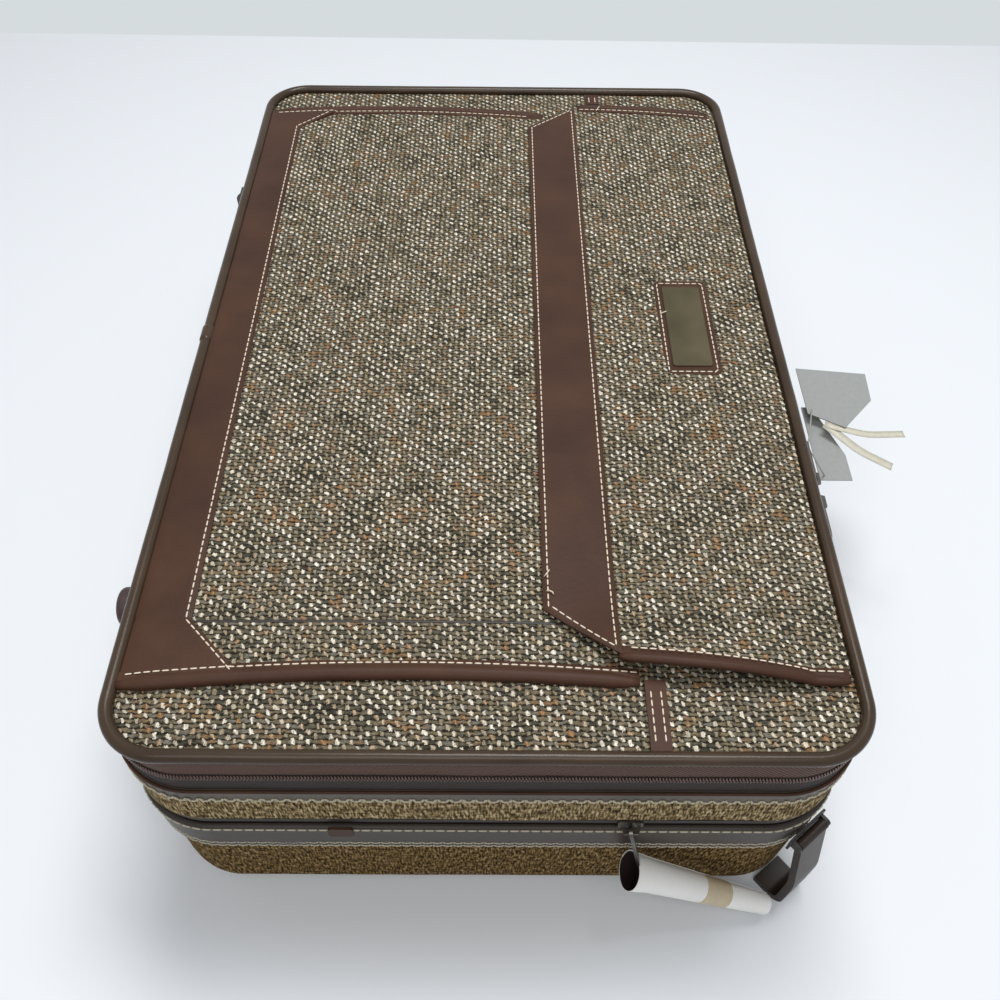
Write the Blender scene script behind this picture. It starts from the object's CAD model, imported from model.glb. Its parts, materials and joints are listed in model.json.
# %% [markdown]
# # A soft-sided tweed suitcase
# The case lies on its back with its zipped front panel up. The solid parts come
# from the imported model, which is the frame for everything here. Cloth, leather,
# zips and seams are built over it, because they are what the eye reads on such
# a case. Lengths are metres, +Z is up and the origin is under the case's middle.

# %% Frame and imports
import json
import math

import bmesh
import bpy
import numpy as np
from mathutils import Matrix, Vector, noise


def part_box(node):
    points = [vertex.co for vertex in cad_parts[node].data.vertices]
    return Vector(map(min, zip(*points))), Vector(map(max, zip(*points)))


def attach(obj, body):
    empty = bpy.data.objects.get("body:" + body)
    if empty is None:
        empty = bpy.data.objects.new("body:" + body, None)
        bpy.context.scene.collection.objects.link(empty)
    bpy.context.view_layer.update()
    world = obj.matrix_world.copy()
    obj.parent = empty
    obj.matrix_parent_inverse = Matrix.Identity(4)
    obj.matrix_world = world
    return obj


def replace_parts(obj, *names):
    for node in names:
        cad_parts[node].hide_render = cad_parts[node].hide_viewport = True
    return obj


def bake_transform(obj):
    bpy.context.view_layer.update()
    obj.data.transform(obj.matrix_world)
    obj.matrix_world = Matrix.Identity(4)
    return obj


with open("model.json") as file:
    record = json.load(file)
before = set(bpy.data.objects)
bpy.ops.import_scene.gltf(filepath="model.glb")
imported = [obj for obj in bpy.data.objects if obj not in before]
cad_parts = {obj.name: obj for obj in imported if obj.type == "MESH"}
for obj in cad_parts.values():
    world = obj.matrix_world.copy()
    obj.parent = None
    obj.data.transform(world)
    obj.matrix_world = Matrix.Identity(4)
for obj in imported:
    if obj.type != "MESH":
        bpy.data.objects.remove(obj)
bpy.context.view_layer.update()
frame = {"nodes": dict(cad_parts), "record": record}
MM = 0.001
NOISE_SEED = 7
noise.seed_set(NOISE_SEED)     # noise_vector is seeded from the clock otherwise


def level(node, top):
    """Lowest or highest Z of a solid."""
    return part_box(node)[1 if top else 0].z


STRIP_LOW, STRIP_HIGH = level("body_strip", False), level("body_strip", True)
BAND_LOW, BAND_HIGH = level("upper_band", False), level("upper_band", True)
BINDING_HIGH = level("rim_binding", True)
CHAIN_Z = (level("rim_zip_row", True) + level("lid_zip_row", False)) / 2
PIPING_LOW, PIPING_HIGH = level("lid_piping", False), level("lid_piping", True)
PANEL_TOP = level("lid_cover", True)
POCKET_TOP = level("pocket_panel", True)
FLAP_LOW, FLAP_HIGH = level("flap_panel", False), level("flap_panel", True)
WALL_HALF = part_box("upper_band")[1]
PIPING_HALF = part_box("lid_piping")[1]
WALL_RADIUS = 50 * MM
SEAM_RADIUS = 33 * MM
PIPING_RADIUS = 5 * MM         # of the solid; the tube drawn below is thinner
print("levels", round(STRIP_HIGH, 4), round(BAND_HIGH, 4), round(CHAIN_Z, 4), round(PIPING_HIGH, 4))

# %% [markdown]
# Colours and surfaces are all worked out by the material's own nodes. Each one
# starts from the same few helpers: a value, a ramp and a bump.

# %% Material helpers
materials = {}


def new_material(name, color, roughness, metallic=0.0, sheen=0.0):
    """A plain surface, and its node tree for adding to."""
    made = bpy.data.materials.new(name)
    made.use_nodes = True
    tree = made.node_tree
    surface = tree.nodes["Principled BSDF"]
    surface.inputs["Base Color"].default_value = (*color, 1)
    surface.inputs["Roughness"].default_value = roughness
    surface.inputs["Metallic"].default_value = metallic
    surface.inputs["Sheen Weight"].default_value = sheen
    made.diffuse_color = (*color, 1)
    materials[name] = made
    return tree, surface


def node(tree, kind, **inputs):
    """One node, with its numbered or named inputs set or linked."""
    made = tree.nodes.new(kind)
    for key, value in inputs.items():
        socket = made.inputs[int(key[1:])] if key[0] == "i" and key[1:].isdigit() else made.inputs[key]
        if isinstance(value, bpy.types.NodeSocket):
            tree.links.new(value, socket)
        else:
            socket.default_value = value
    return made


def math_node(tree, operation, a, b=0.0, c=0.0):
    made = node(tree, "ShaderNodeMath", i0=a, i1=b, i2=c)
    made.operation = operation
    return made.outputs[0]


def ramp(tree, value, stops, stepped=False):
    made = node(tree, "ShaderNodeValToRGB", i0=value)
    made.color_ramp.interpolation = "CONSTANT" if stepped else "LINEAR"
    elements = made.color_ramp.elements
    while len(elements) < len(stops):
        elements.new(0.5)
    for element, (place, color) in zip(elements, stops):
        element.position = place
        element.color = (*color, 1)
    return made.outputs[0]


def mix_color(tree, factor, a, b, kind="MIX"):
    made = tree.nodes.new("ShaderNodeMix")
    made.data_type = "RGBA"
    made.blend_type = kind
    for socket, value in ((made.inputs[0], factor), (made.inputs[6], a), (made.inputs[7], b)):
        if isinstance(value, bpy.types.NodeSocket):
            tree.links.new(value, socket)
        else:
            socket.default_value = value
    return made.outputs[2]


def bump(tree, surface, height, distance, strength=1.0):
    made = node(tree, "ShaderNodeBump", Strength=strength, Distance=distance, Height=height)
    tree.links.new(made.outputs[0], surface.inputs["Normal"])


def noise_value(tree, place, scale, detail=2.0):
    return node(tree, "ShaderNodeTexNoise", Vector=place, Scale=scale, Detail=detail).outputs[0]


# %% [markdown]
# ## Tweed
# The cloth is a coarse plain weave. A yarn of the warp shows in every other cell
# as a light fleck, a yarn of the weft in the cells between them, and each cell
# gets its own colour: cream, white, tan, rust or grey green. The cells come from
# each piece's own map, which is laid out in metres along the cloth.

# %% Tweed
CELL_U, CELL_V = 3.85 * MM, 2.94 * MM


def stretched(tree, place, angle, along, across):
    """The map turned and drawn out, so that noise on it runs in strands."""
    turned = node(tree, "ShaderNodeMapping", Vector=place, Rotation=(0, 0, angle), Scale=(along, across, 1.0))
    return turned.outputs[0]


def lens(tree, u, v, wide, tall):
    """1 in the middle of a yarn's float, falling to 0 at its oval edge."""
    square_u = math_node(tree, "POWER", math_node(tree, "DIVIDE", math_node(tree, "ABSOLUTE", u), wide), 2.0)
    square_v = math_node(tree, "POWER", math_node(tree, "DIVIDE", math_node(tree, "ABSOLUTE", v), tall), 2.0)
    left = math_node(tree, "SUBTRACT", 1.0, math_node(tree, "ADD", square_u, square_v))
    return math_node(tree, "MAXIMUM", left, 0.0)


def make_tweed(name, plain, warp_stops, weft_stops):
    tree, surface = new_material(name, plain, 0.95)
    surface.inputs["Specular IOR Level"].default_value = 0.1
    place = tree.nodes.new("ShaderNodeTexCoord").outputs["UV"]
    moved = place
    for scale, by in ((90.0, 0.0035), (420.0, 0.0024), (1300.0, 0.0012)):
        wander = node(tree, "ShaderNodeTexNoise", Vector=place, Scale=scale, Detail=1.0).outputs[1]
        shift = node(tree, "ShaderNodeVectorMath", i0=wander, i1=(0.5, 0.5, 0.5))
        shift.operation = "SUBTRACT"
        small = node(tree, "ShaderNodeVectorMath", i0=shift.outputs[0], i1=(by, by, 0.0))
        small.operation = "MULTIPLY"
        step = node(tree, "ShaderNodeVectorMath", i0=moved, i1=small.outputs[0])
        step.operation = "ADD"
        moved = step.outputs[0]
    parts = node(tree, "ShaderNodeSeparateXYZ", Vector=moved)
    across = math_node(tree, "DIVIDE", parts.outputs[0], CELL_U)
    along = math_node(tree, "DIVIDE", parts.outputs[1], CELL_V)
    column = math_node(tree, "FLOOR", across)
    row = math_node(tree, "FLOOR", along)
    in_u = math_node(tree, "SUBTRACT", math_node(tree, "FRACT", across), 0.5)
    in_v = math_node(tree, "SUBTRACT", math_node(tree, "FRACT", along), 0.5)
    slanted = math_node(tree, "ADD", in_u, math_node(tree, "MULTIPLY", in_v, 0.22))
    both = math_node(tree, "ADD", column, row)
    halved = math_node(tree, "FRACT", math_node(tree, "MULTIPLY", both, 0.5))
    warp_over = math_node(tree, "GREATER_THAN", halved, 0.25)
    cell = node(tree, "ShaderNodeCombineXYZ", X=column, Y=row)
    chance = node(tree, "ShaderNodeTexWhiteNoise", Vector=cell.outputs[0])
    chance.noise_dimensions = "2D"
    patchy = noise_value(tree, place, 38.0)
    upright = noise_value(tree, stretched(tree, place, 0.25, 1.0, 0.22), 1700.0, 2.0)
    level_strands = noise_value(tree, stretched(tree, place, 0.1, 0.2, 1.0), 1700.0, 2.0)
    warp_pick = math_node(tree, "ADD", math_node(tree, "MULTIPLY", chance.outputs[0], 0.8),
                          math_node(tree, "MULTIPLY", patchy, 0.2))
    weft_pick = math_node(tree, "ADD", math_node(tree, "MULTIPLY", chance.outputs[0], 0.3),
                          math_node(tree, "MULTIPLY", patchy, 0.7))
    warp_light = math_node(tree, "ADD", math_node(tree, "MULTIPLY", upright, 2.2), -0.1)
    weft_light = math_node(tree, "ADD", math_node(tree, "MULTIPLY", level_strands, 2.6), -0.3)
    warp_color = mix_color(tree, 1.0, ramp(tree, warp_pick, warp_stops), warp_light, "MULTIPLY")
    weft_color = mix_color(tree, 1.0, ramp(tree, weft_pick, weft_stops), weft_light, "MULTIPLY")

    warp_height = lens(tree, slanted, in_v, 0.3, 0.82)
    weft_height = lens(tree, in_u, in_v, 1.0, 0.42)
    low_weft = math_node(tree, "MULTIPLY", weft_height, 0.5)
    height = node(tree, "ShaderNodeMix", i0=warp_over, i2=low_weft, i3=warp_height).outputs[0]
    shown = math_node(tree, "MINIMUM", math_node(tree, "MULTIPLY", warp_height, 2.4), 1.0)
    fleck = math_node(tree, "MULTIPLY", shown, warp_over)
    under_weft = math_node(tree, "MINIMUM", math_node(tree, "MULTIPLY", weft_height, 1.5), 1.0)
    ground = mix_color(tree, under_weft, (0.02, 0.016, 0.011, 1), weft_color)
    yarn = mix_color(tree, fleck, ground, warp_color)
    tree.links.new(yarn, surface.inputs["Base Color"])
    relief = math_node(tree, "ADD", height, math_node(tree, "MULTIPLY", upright, 0.4))
    bump(tree, surface, relief, 0.0007)


def make_fuzzy(name, plain, stops):
    """The same cloth seen along its face: brushed hair hides the weave."""
    tree, surface = new_material(name, plain, 0.95)
    surface.inputs["Specular IOR Level"].default_value = 0.05
    place = tree.nodes.new("ShaderNodeTexCoord").outputs["UV"]
    hair = noise_value(tree, stretched(tree, place, 0.75, 1.0, 0.2), 760.0, 2.5)
    other = noise_value(tree, stretched(tree, place, -0.35, 0.45, 1.0), 340.0, 2.0)
    pick = math_node(tree, "ADD", math_node(tree, "MULTIPLY", hair, 0.7),
                     math_node(tree, "MULTIPLY", other, 0.3))
    tree.links.new(ramp(tree, pick, stops), surface.inputs["Base Color"])
    bump(tree, surface, pick, 0.0012)


TOP_WARP = [(0.0, (0.19, 0.145, 0.09)), (0.22, (0.38, 0.315, 0.215)), (0.45, (0.62, 0.555, 0.43)),
            (0.74, (0.84, 0.77, 0.64)), (0.83, (0.56, 0.45, 0.3)), (0.89, (0.36, 0.2, 0.1))]
TOP_WEFT = [(0.3, (0.052, 0.05, 0.037)), (0.42, (0.11, 0.1, 0.07)), (0.5, (0.185, 0.145, 0.085)),
            (0.58, (0.16, 0.155, 0.125)), (0.7, (0.21, 0.13, 0.065))]
FUZZ = [(0.37, (0.03, 0.02, 0.009)), (0.47, (0.13, 0.091, 0.042)), (0.54, (0.3, 0.22, 0.11)),
        (0.63, (0.58, 0.47, 0.29))]
LOW_FUZZ = [(place, (0.62 * red, 0.54 * green, 0.42 * blue)) for place, (red, green, blue) in FUZZ]
make_tweed("tweed", (0.2, 0.17, 0.125), TOP_WARP, TOP_WEFT)
make_fuzzy("tweed_wall", (0.16, 0.12, 0.065), FUZZ)
make_fuzzy("tweed_low", (0.1, 0.065, 0.028), LOW_FUZZ)
print("tweed cell", CELL_U, CELL_V)

# %% [markdown]
# ## Leather, vinyl, zip and small materials
# The leather is smooth and nearly plain, with fine pores, soft creases and a low
# sheen. The piping is a vinyl tube, smoother than the leather. The zip's tape is
# a twill, drawn as fine slanting ribs.

# %% Leather and the others
def make_leather(name, color, roughness, grain, shine):
    tree, surface = new_material(name, color, roughness)
    surface.inputs["Specular IOR Level"].default_value = shine
    place = tree.nodes.new("ShaderNodeTexCoord").outputs["Object"]
    cloud = noise_value(tree, place, 22.0, 4.0)
    tone = ramp(tree, cloud, [(0.3, tuple(0.8 * c for c in color)), (0.7, tuple(1.25 * c for c in color))])
    tree.links.new(tone, surface.inputs["Base Color"])
    pores = node(tree, "ShaderNodeTexVoronoi", Vector=place, Scale=1500.0).outputs[0]
    crease = noise_value(tree, place, 260.0, 3.0)
    relief = math_node(tree, "ADD", math_node(tree, "MULTIPLY", pores, 0.35), crease)
    bump(tree, surface, relief, grain)
    wear = math_node(tree, "ADD", math_node(tree, "MULTIPLY", cloud, 0.16), roughness - 0.08)
    tree.links.new(wear, surface.inputs["Roughness"])


make_leather("leather", (0.06, 0.028, 0.017), 0.46, 0.00016, 0.14)
make_leather("piping", (0.05, 0.031, 0.018), 0.26, 0.00004, 0.25)
make_leather("binding", (0.04, 0.031, 0.024), 0.4, 0.0001, 0.3)
make_leather("pale_binding", (0.084, 0.07, 0.055), 0.42, 0.0001, 0.3)
make_leather("dark_leather", (0.03, 0.019, 0.014), 0.42, 0.00012, 0.3)


def make_ribbed(name, color, pitch, angle, roughness=0.8, depth=0.00025):
    """Cloth with fine slanting ribs on the piece's own map."""
    tree, surface = new_material(name, color, roughness)
    place = tree.nodes.new("ShaderNodeTexCoord").outputs["UV"]
    parts = node(tree, "ShaderNodeSeparateXYZ", Vector=place)
    slant = math_node(tree, "ADD", math_node(tree, "MULTIPLY", parts.outputs[0], math.cos(angle)),
                      math_node(tree, "MULTIPLY", parts.outputs[1], math.sin(angle)))
    wave = math_node(tree, "SINE", math_node(tree, "MULTIPLY", slant, 2 * math.pi / pitch))
    tone = ramp(tree, math_node(tree, "ADD", math_node(tree, "MULTIPLY", wave, 0.5), 0.5),
                [(0.1, tuple(0.4 * c for c in color)), (0.9, tuple(1.7 * c for c in color))])
    tree.links.new(tone, surface.inputs["Base Color"])
    bump(tree, surface, wave, depth)


make_ribbed("zip_tape", (0.09, 0.045, 0.03), 1.9 * MM, math.radians(50))
make_ribbed("shaded_tape", (0.022, 0.013, 0.011), 1.7 * MM, math.radians(50))


def make_plain(name, color, roughness, metallic=0.0, scale=300.0, depth=0.00008, spread=0.2):
    tree, surface = new_material(name, color, roughness, metallic)
    place = tree.nodes.new("ShaderNodeTexCoord").outputs["Object"]
    value = noise_value(tree, place, scale, 3.0)
    stops = [(0.3, tuple((1 - spread) * c for c in color)), (0.7, tuple((1 + spread) * c for c in color))]
    tone = ramp(tree, value, stops)
    tree.links.new(tone, surface.inputs["Base Color"])
    bump(tree, surface, value, depth)


make_plain("lining", (0.15, 0.1, 0.075), 0.75, scale=900.0)
make_plain("webbing", (0.05, 0.033, 0.026), 0.8, scale=1200.0, depth=0.0002)
make_plain("zip_row", (0.12, 0.065, 0.048), 0.28, scale=200.0)
make_plain("shaded_row", (0.02, 0.013, 0.011), 0.5, scale=200.0)
make_plain("board", (0.2, 0.13, 0.075), 0.8)
make_plain("dark_plastic", (0.022, 0.017, 0.015), 0.45)
make_plain("rubber", (0.042, 0.02, 0.018), 0.5)
make_plain("steel", (0.55, 0.55, 0.54), 0.3, 1.0)
make_plain("gunmetal", (0.12, 0.112, 0.1), 0.3, 0.9, scale=500.0)
make_plain("paper", (0.87, 0.86, 0.82), 0.5, scale=60.0, spread=0.03)
make_plain("thread", (0.78, 0.67, 0.52), 0.7, scale=3000.0, spread=0.25)
make_plain("grey_thread", (0.46, 0.42, 0.32), 0.7, scale=3000.0, spread=0.25)
make_plain("olive_thread", (0.5, 0.45, 0.33), 0.7, scale=3000.0, spread=0.25)
make_plain("sticky_tape", (0.56, 0.46, 0.3), 0.35, spread=0.05)
make_plain("card", (0.32, 0.33, 0.32), 0.35, spread=0.04)
make_plain("ribbon", (0.6, 0.57, 0.46), 0.5, spread=0.08)


def make_plate():
    tree, surface = new_material("aged_brass", (0.12, 0.1, 0.065), 0.46, 0.6)
    place = tree.nodes.new("ShaderNodeTexCoord").outputs["Object"]
    brushed = node(tree, "ShaderNodeMapping", Vector=place, Scale=(1.0, 60.0, 1.0)).outputs[0]
    lines = noise_value(tree, brushed, 160.0, 3.0)
    cloud = noise_value(tree, place, 28.0, 2.0)
    tone = ramp(tree, cloud, [(0.3, (0.06, 0.047, 0.022)), (0.7, (0.105, 0.086, 0.045))])
    tree.links.new(tone, surface.inputs["Base Color"])
    bump(tree, surface, lines, 0.00005)


make_plate()
print(len(materials), "materials")

# %% [markdown]
# ## Every solid gets the material of its slot
# Hard pieces such as sliders, feet, wheels and the handle show as they were
# made. The soft ones are drawn again below, over the same lines.

# %% Materials on the solids
slot_of = {piece["node"]: piece["material_slot"] for piece in frame["record"]["subparts"]}
for name, solid in frame["nodes"].items():
    solid.data.materials.clear()
    solid.data.materials.append(materials[slot_of[name]])
shown_dark = {"pull_strap": "dark_leather", "strap_anchor": "dark_plastic",
              "expander_zip_lower": "shaded_row", "expander_zip_upper": "shaded_row"}
for name, material in shown_dark.items():
    frame["nodes"][name].data.materials[0] = materials[material]
print(len(slot_of), "solids")

# %% [markdown]
# ## Bands that run round the case
# Nearly everything on the walls is a band: a section carried round a rounded
# rectangle. The same outline also leads the walls' rows of stitches, so that
# seams stay on their bands. The lid's tape goes over from the wall's line to the
# piping's.

# %% Outline and bands
SIDE_STEPS, END_STEPS, CORNER_STEPS = 110, 60, 22


def outline(half_x, half_y, radius):
    """Points and outward directions round a rounded rectangle, always in step."""
    points, normals = [], []
    corners = ((1, 1), (-1, 1), (-1, -1), (1, -1))
    straight = (SIDE_STEPS, END_STEPS, SIDE_STEPS, END_STEPS)
    for k, (sx, sy) in enumerate(corners):
        centre = np.array([sx * (half_x - radius), sy * (half_y - radius)])
        start = math.pi / 2 * k
        before = corners[k - 1]
        old_centre = np.array([before[0] * (half_x - radius), before[1] * (half_y - radius)])
        normal = np.array([math.cos(start), math.sin(start)])
        for i in range(straight[k]):
            points.append(old_centre + normal * radius + (centre - old_centre) * i / straight[k])
            normals.append(normal)
        for i in range(CORNER_STEPS):
            angle = start + math.pi / 2 * i / CORNER_STEPS
            normal = np.array([math.cos(angle), math.sin(angle)])
            points.append(centre + normal * radius)
            normals.append(normal)
    return np.array(points), np.array(normals)


wall_points, wall_normals = outline(WALL_HALF.x, WALL_HALF.y, WALL_RADIUS)
seam_points, _ = outline(PIPING_HALF.x - PIPING_RADIUS, PIPING_HALF.y - PIPING_RADIUS, SEAM_RADIUS)
NEAR_TUCK = 3.3 * MM
near_share = np.clip((-seam_points[:, 1] - 120 * MM) / (180 * MM), 0, 1)
seam_points[:, 1] += NEAR_TUCK * near_share * near_share * (3 - 2 * near_share)


def ring_line(out, z, share=0.0, soft=0.0):
    """One closed line round the case. Share goes from the wall's line to the piping's."""
    points = wall_points * (1 - share) + seam_points * share + wall_normals * out
    line = np.column_stack([points, np.full(len(points), z)])
    if soft:
        for k, p in enumerate(line):
            broad = noise.noise(Vector((p[0] * 14, p[1] * 14, z * 30 + 3)))
            sway = broad + 0.6 * noise.noise(Vector((p[0] * 45, p[1] * 45, z * 60)))
            line[k, :2] += wall_normals[k] * soft * sway
    return line


def lengths_of(line):
    """Distance along a closed line, starting with 0 and ending with its length."""
    steps = np.linalg.norm(np.roll(line, -1, 0) - line, axis=1)
    return np.concatenate([[0], np.cumsum(steps)])


def mesh_piece(name, points, faces, material, body, uv=None, smooth=True):
    """A finished mesh that rides on a body. uv holds one pair for each corner of each face."""
    data = bpy.data.meshes.new(name)
    data.from_pydata([tuple(map(float, p)) for p in points], [], faces)
    if uv is not None:
        layer = data.uv_layers.new(name="cloth")
        layer.data.foreach_set("uv", np.asarray(uv, np.float32).ravel())
    data.validate()
    data.update()
    if smooth:
        data.shade_smooth()
    piece = bpy.data.objects.new(name, data)
    bpy.context.scene.collection.objects.link(piece)
    piece.data.materials.append(materials[material])
    if body:
        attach(piece, body)
    return piece


def band(name, section, material, body, soft=(), sharp=40):
    """A closed section of (out, z, share) carried round the case."""
    soft = list(soft) + [0.0] * (len(section) - len(soft))
    lines = [ring_line(*step, soft=give) for step, give in zip(section, soft)]
    count = len(wall_points)
    along = lengths_of(lines[0])
    up = [0.0]
    for a, b in zip(lines, lines[1:] + lines[:1]):
        up.append(up[-1] + float(np.linalg.norm(a[0] - b[0])))
    faces, uv = [], []
    for j in range(len(lines)):
        k = (j + 1) % len(lines)
        for i in range(count):
            n = (i + 1) % count
            faces.append((j * count + i, j * count + n, k * count + n, k * count + i))
            uv += [(along[i], up[j]), (along[i + 1], up[j]), (along[i + 1], up[j + 1]), (along[i], up[j + 1])]
    piece = mesh_piece(name, np.vstack(lines), faces, material, body, uv)
    piece.data.set_sharp_from_angle(angle=math.radians(sharp))
    return piece


# %% [markdown]
# The lower case: its wall leans in a little to the back, rounds over the edge
# and runs under to the seam of the back panel. Cloth over a board stays nearly
# flat, so it sways very little.

# %% Lower walls
LEAN = 5 * MM
CLOTH = 1.8 * MM
EDGE = 22 * MM
EDGE_STEPS = 8
BACK_SEAM = 33.6 * MM


def lean(z):
    return -LEAN * (1 - z / STRIP_HIGH)


strip_low, strip_high = STRIP_LOW + 2.2 * MM, STRIP_HIGH - 2.4 * MM
band_low = BAND_LOW - 1.6 * MM
outer = [(lean(z), z) for z in np.linspace(strip_high - 2 * MM, EDGE, 9)]
for step in range(1, EDGE_STEPS):
    turn = math.pi / 2 * step / EDGE_STEPS
    outer.append((lean(EDGE) - EDGE * (1 - math.cos(turn)), EDGE * (1 - math.sin(turn))))
outer.append((-LEAN - EDGE, 0.0))
outer.append((-BACK_SEAM, 0.0))
inner = [(-BACK_SEAM, CLOTH), (-LEAN - EDGE - 0.5 * MM, CLOTH)]
for step in range(EDGE_STEPS - 1, 0, -1):
    turn = math.pi / 2 * step / EDGE_STEPS
    r = EDGE - CLOTH
    inner.append((lean(EDGE) - CLOTH - r * (1 - math.cos(turn)), EDGE - r * math.sin(turn)))
inner += [(lean(EDGE) - CLOTH, EDGE), (-CLOTH, strip_high - 2 * MM)]
soft_lower = [0, 0, 0.3 * MM, 0.5 * MM, 0.7 * MM, 0.8 * MM, 0.8 * MM, 0.7 * MM, 0.5 * MM, 0.3 * MM]
lower_wall = band("lower_wall", outer + inner, "tweed_low", "case", soft_lower)
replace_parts(lower_wall, "body_cover")

strip_section = [(lean(strip_low) + 0.2 * MM, strip_low), (lean(strip_low) + 1.2 * MM, strip_low + 0.1 * MM),
                 (lean(strip_low) + 1.6 * MM, strip_low + 0.8 * MM)]
strip_section += [(lean(z) + 1.6 * MM, z) for z in np.linspace(strip_low + 6 * MM, strip_high - 6 * MM, 4)]
strip_section += [(1.6 * MM, strip_high - 1.4 * MM), (1.3 * MM, strip_high - 0.5 * MM), (0.6 * MM, strip_high),
                  (-1.6 * MM, strip_high), (-1.6 * MM, strip_high - 2 * MM), (0.1 * MM, strip_high - 3 * MM),
                  (lean(strip_low) + 0.1 * MM, strip_low + 1 * MM)]
strip_sway = [0, 0.1 * MM, 0.2 * MM, 0.4 * MM, 0.4 * MM, 0.4 * MM, 0.3 * MM]
strip = band("leather_strip", strip_section, "binding", "case", strip_sway)
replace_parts(strip, "body_strip")
print("strip", round(STRIP_LOW, 4), round(STRIP_HIGH, 4))

# %% [markdown]
# The piping is a vinyl tube, filled with a cord, that holds the lid's edge. It
# runs right round and its ends meet under a short sleeve.

# %% Piping
PIPE, PIPE_SIDES = 4.0 * MM, 16
pipe_section = []
for step in range(PIPE_SIDES):
    turn = 2 * math.pi * step / PIPE_SIDES
    pipe_section.append((PIPE * math.cos(turn), PIPING_HIGH - PIPING_RADIUS + PIPE * math.sin(turn), 1.0))
piping = band("piping", pipe_section, "piping", "lid", [0.25 * MM] * PIPE_SIDES, sharp=180)
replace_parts(piping, "lid_piping")
sleeve_low, sleeve_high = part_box("piping_sleeve")
sleeve_x = -(PIPING_HALF.x - PIPING_RADIUS)
sleeve_z = PIPING_HIGH - PIPING_RADIUS
SLEEVE, SLEEVE_SIDES = PIPE + 0.8 * MM, 24
sleeve_widths = [PIPE] + [SLEEVE] * 7 + [PIPE]
sleeve_points, sleeve_faces = [], []
for y, wide in zip(np.linspace(sleeve_low.y, sleeve_high.y, len(sleeve_widths)), sleeve_widths):
    for k in range(SLEEVE_SIDES):
        turn = 2 * math.pi * k / SLEEVE_SIDES
        sleeve_points.append((sleeve_x + wide * math.cos(turn), y, sleeve_z + wide * math.sin(turn)))
for i in range(len(sleeve_widths) - 1):
    for k in range(SLEEVE_SIDES):
        a, b = i * SLEEVE_SIDES + k, i * SLEEVE_SIDES + (k + 1) % SLEEVE_SIDES
        sleeve_faces.append((a, b, b + SLEEVE_SIDES, a + SLEEVE_SIDES))
last_ring = (len(sleeve_widths) - 1) * SLEEVE_SIDES
sleeve_faces += [tuple(range(SLEEVE_SIDES))[::-1], tuple(range(last_ring, last_ring + SLEEVE_SIDES))]
sleeve = mesh_piece("piping_sleeve_roll", sleeve_points, sleeve_faces, "piping", "lid")
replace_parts(sleeve, "piping_sleeve")

# %% [markdown]
# The rim: a tweed band whose lower edge is turned under beside the expander's
# groove, and the leather binding that closes its upper edge.

# %% Rim
band_section = [(-1.9 * MM, band_low), (-0.8 * MM, band_low - 0.2 * MM), (0.0, band_low + 0.8 * MM)]
band_section += [(0.0, z) for z in np.linspace(band_low + 4 * MM, BAND_HIGH - 3 * MM, 5)]
band_section += [(0.0, BAND_HIGH + 0.5 * MM), (-1.9 * MM, BAND_HIGH + 0.5 * MM)]
band_sway = [0, 0.5 * MM, 0.6 * MM, 0.6 * MM, 0.6 * MM, 0.5 * MM, 0.4 * MM, 0.2 * MM]
rim_cloth = band("rim_cloth", band_section, "tweed_wall", "rim", band_sway)
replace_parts(rim_cloth, "upper_band")

binding_section = [(0.0, BAND_HIGH - 0.4 * MM), (0.5 * MM, BAND_HIGH - 0.2 * MM),
                   (0.7 * MM, BAND_HIGH + 0.8 * MM), (0.6 * MM, BAND_HIGH + 4 * MM),
                   (0.6 * MM, BINDING_HIGH - 3 * MM), (0.9 * MM, BINDING_HIGH - 1.6 * MM),
                   (0.6 * MM, BINDING_HIGH - 0.4 * MM), (-0.4 * MM, BINDING_HIGH),
                   (-1.9 * MM, BINDING_HIGH - 0.2 * MM), (-1.9 * MM, BAND_HIGH + 1 * MM)]
binding = band("rim_leather", binding_section, "pale_binding", "rim", [0, 0, 0.3 * MM, 0.3 * MM, 0.3 * MM])
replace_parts(binding, "rim_binding")
EDGE_ROLL = 1.1 * MM
edge_section = []
for step in range(8):
    turn = step * math.pi / 4
    edge_section.append((0.2 * MM + EDGE_ROLL * math.cos(turn),
                         BINDING_HIGH - 0.4 * MM + EDGE_ROLL * math.sin(turn)))
band("rim_leather_edge", edge_section, "leather", "rim", sharp=180)
print("band", round(BAND_LOW, 4), round(BAND_HIGH, 4))

# %% [markdown]
# ## The lid zip
# A woven tape on each side of two rows of nylon coil. The lid's tape is the one
# that shows most: it leans out from the wall to the piping that it is sewn to,
# and its lowest part is darker.

# %% Zip tapes
rim_tape_section = [(-1.4 * MM, BINDING_HIGH - 1 * MM), (-1.1 * MM, BINDING_HIGH + 3 * MM),
                    (-1.0 * MM, CHAIN_Z - 4 * MM), (-1.0 * MM, CHAIN_Z - 0.3 * MM),
                    (-1.9 * MM, CHAIN_Z - 0.3 * MM), (-2.0 * MM, BINDING_HIGH - 1 * MM)]
rim_tape = band("rim_tape", rim_tape_section, "shaded_tape", "rim", [0, 0.3 * MM, 0.3 * MM])
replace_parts(rim_tape, "rim_zip_tape")

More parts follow.
